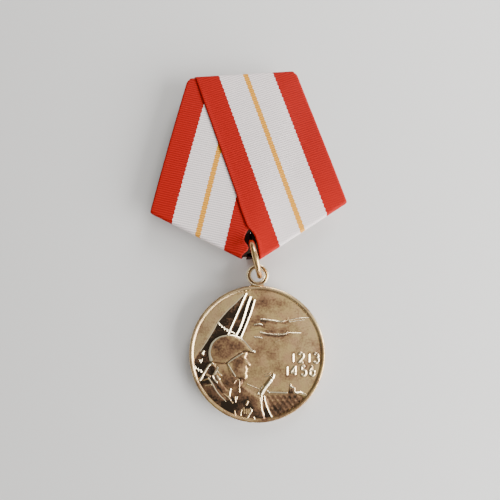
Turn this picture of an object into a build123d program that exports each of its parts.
"""Round service medal hanging from a five-sided ribbon block, lying on its back."""

import os
from math import cos, degrees, radians, sin, sqrt

from build123d import *

os.makedirs("parts", exist_ok=True)

# Block outline, seen from the front (mm)
block_height = 46.0
block_top_width = 27.0
block_width = 45.9
lower_edge_rise = 13.2
selvage_overhang = 0.3

plate_corner_radius = 0.8

# Layers of the block, from the floor upwards
fitting_height = 2.5
fitting_thickness = 0.5
back_plate_thickness = 0.6
ribbon_thickness = 0.45
base_plate_thickness = 1.0

# Ribbon
hem_length = 7.0
slot_half_width = 0.8
slot_clearance = 0.35

# Back plate
back_plate_inset = 1.6
back_plate_bottom = 11.0

# Ring and the hole it passes through
ring_outer_diameter = 9.8
ring_wire_diameter = 1.35
ring_split = 0.15
ring_lean = 11.0
ring_hole_radius = 1.6
ring_hole_height = 5.4
ring_pivot_height = 4.75
notch_half_width = 2.6
notch_depth = 2.2

# Medal
disc_radius = 16.0
disc_thickness = 2.4
rim_width = 0.75
rim_height = 0.3
rim_round = 0.25
eyelet_outer_radius = 2.55
eyelet_inner_radius = 1.55
eyelet_thickness = 1.4
eyelet_distance = 18.5
eyelet_foot_half_width = 2.3
medal_tilt = 4.0
medal_turn = 3.5
eyelet_offset_x = -0.5
eyelet_offset_y = 0.1

# Fastening needle and its fittings
needle_line = 30.0
needle_radius = 0.45
needle_root_radius = 0.65
needle_root_length = 5.7
needle_tip_radius = 0.12
needle_length = 29.0
needle_taper_length = 6.7
needle_eye_radius = 0.95
needle_axis_height = 1.25
hinge_x = -13.0
hinge_pin_radius = 0.3
hinge_pin_head_radius = 0.6
hinge_pin_head_thickness = 0.3
running_clearance = 0.05
ear_side_clearance = 0.1
ear_radius = 1.25
bracket_rivet_reach = 3.6
catch_rivet_reach = 24.4
catch_wall_reach = 26.4
catch_wall_length = 2.0
catch_side_clearance = 0.12
pad_radius = 1.9
rivet_radius = 0.7
rivet_clearance = 0.02
rivet_head_radius = 1.2
rivet_head_height = 0.4

# Derived heights
back_plate_bottom_z = fitting_height + fitting_thickness
hem_bottom_z = back_plate_bottom_z + back_plate_thickness
base_bottom_z = hem_bottom_z + ribbon_thickness
base_top_z = base_bottom_z + base_plate_thickness
ribbon_top_z = base_top_z + 2 * ribbon_thickness

# Derived places, with the bounding box centred on the origin
ring_radius = (ring_outer_diameter - ring_wire_diameter) / 2
ring_centre_z = ring_outer_diameter / 2
round_radius = disc_radius - rim_round
round_height = disc_thickness / 2 - rim_round
disc_z = round_radius * sin(radians(medal_tilt)) + round_height * cos(radians(medal_tilt)) + rim_round
disc_span = round_radius * cos(radians(medal_tilt)) + round_height * sin(radians(medal_tilt)) + rim_round
eyelet_centre_z = disc_z + eyelet_distance * sin(radians(medal_tilt))
eyelet_reach = ring_radius + sqrt(ring_radius**2 - (ring_centre_z - eyelet_centre_z) ** 2)
wire_at_eyelet_x = eyelet_reach * sin(radians(ring_lean))
wire_at_eyelet_y = ring_pivot_height - eyelet_reach * cos(radians(ring_lean))
eyelet_x = wire_at_eyelet_x + eyelet_offset_x
eyelet_height = wire_at_eyelet_y + eyelet_offset_y
disc_x = eyelet_x - eyelet_distance * sin(radians(medal_turn))
disc_height = eyelet_height - eyelet_distance * cos(radians(medal_turn)) * cos(radians(medal_tilt))
lowest_edge = disc_height - disc_span
corner_y = -(block_height + ribbon_thickness + lowest_edge) / 2
top_y = corner_y + block_height
shoulder_y = corner_y + lower_edge_rise
pivot_y = corner_y + ring_pivot_height
needle_y = corner_y + needle_line
lower_edge_slope = lower_edge_rise / (block_width / 2)
side_slope = (block_width - block_top_width) / 2 / (block_height - lower_edge_rise)
lower_edge_stretch = sqrt(1 + lower_edge_slope**2)
hem_offset = ribbon_thickness * lower_edge_stretch
hem_rise = hem_length * lower_edge_stretch
side_inset = selvage_overhang * sqrt(1 + side_slope**2)
plate_half_width = block_width / 2 - side_inset
plate_top_half_width = block_top_width / 2 - side_inset
plate_shoulder_y = corner_y + plate_half_width * lower_edge_slope
notch_edge_y = corner_y + notch_half_width * lower_edge_slope
ribbon_reach = block_width / 2 + side_slope * (lower_edge_rise + hem_offset)
ribbon_half_width = ribbon_reach / (1 + side_slope * lower_edge_slope)
ribbon_shoulder_y = corner_y - hem_offset + ribbon_half_width * lower_edge_slope
ribbon_top_half_width = block_top_width / 2 - side_slope * ribbon_thickness
wide_x = block_width
wide_rise = wide_x * lower_edge_slope
needle_taper = (needle_radius - needle_tip_radius) / needle_taper_length
radius_at_catch = needle_tip_radius + (needle_length - catch_wall_reach) * needle_taper
catch_half_gap = radius_at_catch + catch_side_clearance
ear_inner = needle_root_radius + ear_side_clearance
ear_outer = ear_inner + fitting_thickness
head_outer = ear_outer + hinge_pin_head_thickness
bracket_rivet_x = hinge_x + bracket_rivet_reach
catch_rivet_x = hinge_x + catch_rivet_reach
catch_wall_x = hinge_x + catch_wall_reach
back_half_width = plate_half_width - back_plate_inset
back_top_half_width = plate_top_half_width - back_plate_inset
back_shoulder_y = plate_shoulder_y + back_plate_inset * lower_edge_slope
back_bottom_y = corner_y + back_plate_bottom
back_bottom_half_width = back_half_width - (back_shoulder_y - back_bottom_y) / lower_edge_slope

# Tilted working planes
medal_plane = Plane(Location((disc_x, corner_y + disc_height, disc_z), (medal_tilt, 0, -medal_turn)))
ring_axis = (cos(radians(ring_lean)), sin(radians(ring_lean)), 0)
ring_centre = (
    ring_radius * sin(radians(ring_lean)),
    pivot_y - ring_radius * cos(radians(ring_lean)),
    ring_centre_z,
)
ring_split_direction = (-sin(radians(ring_lean)), cos(radians(ring_lean)), -1)
ring_plane = Plane(origin=ring_centre, x_dir=ring_split_direction, z_dir=ring_axis)
needle_plane = Plane(origin=(hinge_x, needle_y, needle_axis_height), z_dir=(1, 0, 0))
hinge_plane = Plane(origin=(hinge_x, needle_y, needle_axis_height), x_dir=(1, 0, 0), z_dir=(0, -1, 0))
catch_plane = Plane(origin=(catch_wall_x, needle_y, 0), x_dir=(0, 1, 0), z_dir=(1, 0, 0))


# ---- Base plate -------------------------------------------------------------
with BuildPart() as base_plate:
    with BuildSketch(Plane.XY.offset(base_bottom_z)) as base_outline:
        with BuildLine():
            Polyline(
                (-plate_top_half_width, top_y),
                (plate_top_half_width, top_y),
                (plate_half_width, plate_shoulder_y),
                (notch_half_width, notch_edge_y),
                (0, corner_y + notch_depth),
                (-notch_half_width, notch_edge_y),
                (-plate_half_width, plate_shoulder_y),
                close=True,
            )
        make_face()
        fillet(base_outline.vertices(), radius=plate_corner_radius)
        with Locations((0, corner_y + ring_hole_height)):
            Circle(ring_hole_radius, mode=Mode.SUBTRACT)
        with Locations((bracket_rivet_x, needle_y), (catch_rivet_x, needle_y)):
            Circle(rivet_radius + rivet_clearance, mode=Mode.SUBTRACT)
    extrude(amount=base_plate_thickness)
base_plate.part.label = "base_plate"
export_step(base_plate.part, "parts/base_plate.step")


# ---- Back plate -------------------------------------------------------------
with BuildPart() as back_plate:
    with BuildSketch(Plane.XY.offset(back_plate_bottom_z)) as back_outline:
        with BuildLine():
            Polyline(
                (-back_top_half_width, top_y - back_plate_inset),
                (back_top_half_width, top_y - back_plate_inset),
                (back_half_width, back_shoulder_y),
                (back_bottom_half_width, back_bottom_y),
                (-back_bottom_half_width, back_bottom_y),
                (-back_half_width, back_shoulder_y),
                close=True,
            )
        make_face()
        fillet(back_outline.vertices(), radius=plate_corner_radius)
        with Locations((bracket_rivet_x, needle_y), (catch_rivet_x, needle_y)):
            Circle(rivet_radius + rivet_clearance, mode=Mode.SUBTRACT)
    extrude(amount=back_plate_thickness)
back_plate.part.label = "back_plate"
export_step(back_plate.part, "parts/back_plate.step")


# ---- Ribbon -----------------------------------------------------------------
with BuildPart() as ribbon:
    with BuildSketch(Plane.XY.offset(hem_bottom_z)):
        with BuildLine():
            Polyline(
                (-ribbon_top_half_width, top_y + ribbon_thickness),
                (ribbon_top_half_width, top_y + ribbon_thickness),
                (ribbon_half_width, ribbon_shoulder_y),
                (0, corner_y - hem_offset),
                (-ribbon_half_width, ribbon_shoulder_y),
                close=True,
            )
        make_face()
    extrude(amount=ribbon_top_z - hem_bottom_z)
    with BuildSketch(Plane.XY.offset(base_bottom_z)):
        with BuildLine():
            Polyline(
                (-wide_x, top_y),
                (wide_x, top_y),
                (wide_x, corner_y + wide_rise),
                (0, corner_y),
                (-wide_x, corner_y + wide_rise),
                close=True,
            )
        make_face()
    extrude(amount=base_plate_thickness, mode=Mode.SUBTRACT)
    with BuildSketch(Plane.XY.offset(hem_bottom_z)):
        with BuildLine():
            Polyline(
                (-wide_x, top_y - hem_length),
                (wide_x, top_y - hem_length),
                (wide_x, corner_y + hem_rise + wide_rise),
                (0, corner_y + hem_rise),
                (-wide_x, corner_y + hem_rise + wide_rise),
                close=True,
            )
        make_face()
    extrude(amount=ribbon_thickness, mode=Mode.SUBTRACT)
    with BuildSketch(Plane.XY.offset(hem_bottom_z)):
        with Locations((0, corner_y + ring_hole_height)):
            Circle(ring_hole_radius + slot_clearance)
        with BuildLine():
            Polyline(
                (-slot_half_width, corner_y + ring_hole_height),
                (slot_half_width, corner_y + ring_hole_height),
                (slot_half_width, corner_y + notch_depth),
                (notch_half_width, notch_edge_y),
                (notch_half_width, corner_y - ring_hole_height),
                (-notch_half_width, corner_y - ring_hole_height),
                (-notch_half_width, notch_edge_y),
                (-slot_half_width, corner_y + notch_depth),
                close=True,
            )
        make_face()
    extrude(amount=ribbon_top_z - hem_bottom_z, mode=Mode.SUBTRACT)
ribbon.part.label = "ribbon"
export_step(ribbon.part, "parts/ribbon.step")


# ---- Bracket for the needle -------------------------------------------------
with BuildPart() as pin_bracket:
    with BuildSketch(Plane.XY.offset(fitting_height)):
        with BuildLine():
            Polyline(
                (hinge_x - ear_radius, needle_y - ear_outer),
                (bracket_rivet_x, needle_y - ear_outer),
                (bracket_rivet_x, needle_y + ear_outer),
                (hinge_x - ear_radius, needle_y + ear_outer),
                close=True,
            )
        make_face()
        with Locations((bracket_rivet_x, needle_y)):
            Circle(pad_radius)
            Circle(rivet_radius + rivet_clearance, mode=Mode.SUBTRACT)
    extrude(amount=fitting_thickness)
    with BuildSketch(hinge_plane.offset(ear_inner), hinge_plane.offset(-ear_outer)):
        Circle(ear_radius)
        with BuildLine():
            Polyline(
                (-ear_radius, 0),
                (ear_radius, 0),
                (ear_radius, fitting_height - needle_axis_height),
                (-ear_radius, fitting_height - needle_axis_height),
                close=True,
            )
        make_face()
        Circle(hinge_pin_radius + running_clearance, mode=Mode.SUBTRACT)
    extrude(amount=fitting_thickness)
pin_bracket.part.label = "pin_bracket"
export_step(pin_bracket.part, "parts/pin_bracket.step")


# ---- Catch for the needle's tip ---------------------------------------------
with BuildPart() as pin_catch:
    with BuildSketch(Plane.XY.offset(fitting_height)):
        with BuildLine():
            Polyline(
                (catch_rivet_x, needle_y - catch_half_gap - fitting_thickness),
                (catch_wall_x + catch_wall_length, needle_y - catch_half_gap - fitting_thickness),
                (catch_wall_x + catch_wall_length, needle_y + catch_half_gap + fitting_thickness),
                (catch_rivet_x, needle_y + catch_half_gap + fitting_thickness),
                close=True,
            )
        make_face()
        with Locations((catch_rivet_x, needle_y)):
            Circle(pad_radius)
            Circle(rivet_radius + rivet_clearance, mode=Mode.SUBTRACT)
    extrude(amount=fitting_thickness)
    with BuildSketch(catch_plane):
        with Locations((catch_half_gap + fitting_thickness / 2, fitting_height / 2)):
            Rectangle(fitting_thickness, fitting_height)
        with Locations((-catch_half_gap - fitting_thickness / 2, fitting_height / 2)):
            Rectangle(fitting_thickness, fitting_height)
    extrude(amount=catch_wall_length)
pin_catch.part.label = "pin_catch"
export_step(pin_catch.part, "parts/pin_catch.step")


# ---- Hinge pin --------------------------------------------------------------
with BuildPart() as hinge_pin:
    with BuildSketch(hinge_plane):
        Circle(hinge_pin_radius)
    extrude(amount=ear_outer, both=True)
    with BuildSketch(hinge_plane.offset(ear_outer), hinge_plane.offset(-head_outer)):
        Circle(hinge_pin_head_radius)
    extrude(amount=hinge_pin_head_thickness)
hinge_pin.part.label = "hinge_pin"
export_step(hinge_pin.part, "parts/hinge_pin.step")


# ---- Needle -----------------------------------------------------------------
with BuildPart() as pin_needle:
    with BuildSketch(needle_plane):
        Circle(needle_radius)
    extrude(amount=needle_length - needle_taper_length)
    with BuildSketch(needle_plane):
        Circle(needle_root_radius)
    extrude(amount=needle_root_length)
    with BuildSketch(needle_plane.offset(needle_length - needle_taper_length)):
        Circle(needle_radius)
    with BuildSketch(needle_plane.offset(needle_length)):
        Circle(needle_tip_radius)
    loft()
    with BuildSketch(hinge_plane):
        Circle(needle_eye_radius)
    extrude(amount=needle_root_radius, both=True)
    with BuildSketch(hinge_plane):
        Circle(hinge_pin_radius + running_clearance)
    extrude(amount=ear_outer, both=True, mode=Mode.SUBTRACT)
pin_needle.part.label = "pin_needle"
export_step(pin_needle.part, "parts/pin_needle.step")


# ---- Rivets -----------------------------------------------------------------
with BuildPart() as fitting_rivet:
    with BuildSketch(Plane.XY.offset(fitting_height)):
        with Locations((bracket_rivet_x, needle_y), (catch_rivet_x, needle_y)):
            Circle(rivet_radius)
    extrude(amount=base_top_z - fitting_height)
    with BuildSketch(Plane.XY.offset(fitting_height)):
        with Locations((bracket_rivet_x, needle_y), (catch_rivet_x, needle_y)):
            Circle(rivet_head_radius)
    extrude(amount=-rivet_head_height, taper=30)
fitting_rivet.part.label = "fitting_rivet"
export_step(fitting_rivet.part, "parts/fitting_rivet.step")


# ---- Connecting ring --------------------------------------------------------
with BuildPart() as connecting_ring:
    with Locations(ring_plane):
        Torus(
            ring_radius,
            ring_wire_diameter / 2,
            major_angle=360 - degrees(ring_split / ring_radius),
        )
connecting_ring.part.label = "connecting_ring"
export_step(connecting_ring.part, "parts/connecting_ring.step")


# ---- Medal ------------------------------------------------------------------
with BuildPart() as medal_disc:
    with BuildSketch(medal_plane):
        Circle(disc_radius)
    extrude(amount=disc_thickness / 2, both=True)
    fillet(medal_disc.edges().filter_by(GeomType.CIRCLE), radius=rim_round)
    with BuildSketch(medal_plane.offset(disc_thickness / 2), medal_plane.offset(-disc_thickness / 2)):
        Circle(disc_radius - rim_width)
    extrude(amount=rim_height, both=True, mode=Mode.SUBTRACT)
    with BuildSketch(medal_plane):
        with BuildLine():
            Polyline(
                (-eyelet_foot_half_width, disc_radius - rim_width),
                (eyelet_foot_half_width, disc_radius - rim_width),
                (eyelet_inner_radius, eyelet_distance - eyelet_inner_radius),
                (-eyelet_inner_radius, eyelet_distance - eyelet_inner_radius),
                close=True,
            )
        make_face()
        with Locations((0, eyelet_distance)):
            Circle(eyelet_outer_radius)
            Circle(eyelet_inner_radius, mode=Mode.SUBTRACT)
    extrude(amount=eyelet_thickness / 2, both=True)
medal_disc.part.label = "medal_disc"
export_step(medal_disc.part, "parts/medal_disc.step")
